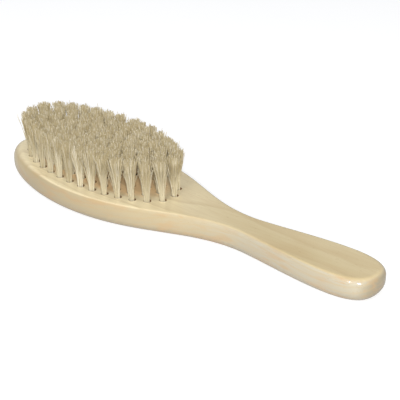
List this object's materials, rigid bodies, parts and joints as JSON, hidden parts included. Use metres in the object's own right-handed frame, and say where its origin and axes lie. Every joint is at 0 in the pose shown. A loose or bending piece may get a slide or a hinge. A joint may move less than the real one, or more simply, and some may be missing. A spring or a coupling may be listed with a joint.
{
  "type": "vegetable brush",
  "caption": "Hand brush with a flat rounded wooden head, a waisted grip and upright splayed tufts of natural fibre, for scrubbing vegetables.",
  "frame": {"origin": "middle of the board's outline on its flat back, the face that the brush rests on", "axes": "+X along the board from the toe of the head to the end of the grip, +Z from the flat back to the fibre tips, +Y to the right hand when the brush is held by the grip with its fibre up"},
  "size_m": [0.2, 0.051, 0.03],
  "materials": {
    "wood": "pale hardwood under a thin clear satin lacquer",
    "fibre": "dry matt plant fibre, pale at the root and tan at the tip",
    "wire": "galvanised flat wire"
  },
  "bodies": {
    "root": {"wooden_body": "wood", "outer_tufts_toe": "fibre", "outer_tufts_toe_right": "fibre", "outer_tufts_right": "fibre", "outer_tufts_heel_right": "fibre", "outer_tufts_heel": "fibre", "outer_tufts_heel_left": "fibre", "outer_tufts_left": "fibre", "outer_tufts_toe_left": "fibre", "middle_tufts_toe": "fibre", "middle_tufts_toe_right": "fibre", "middle_tufts_right": "fibre", "middle_tufts_heel_right": "fibre", "middle_tufts_heel": "fibre", "middle_tufts_heel_left": "fibre", "middle_tufts_left": "fibre", "middle_tufts_toe_left": "fibre", "inner_tufts_toe": "fibre", "inner_tufts_right": "fibre", "inner_tufts_heel": "fibre", "inner_tufts_left": "fibre", "centre_tufts": "fibre", "outer_anchors": "wire", "middle_anchors": "wire", "inner_anchors": "wire", "centre_anchors": "wire"}
  },
  "joints": []
}
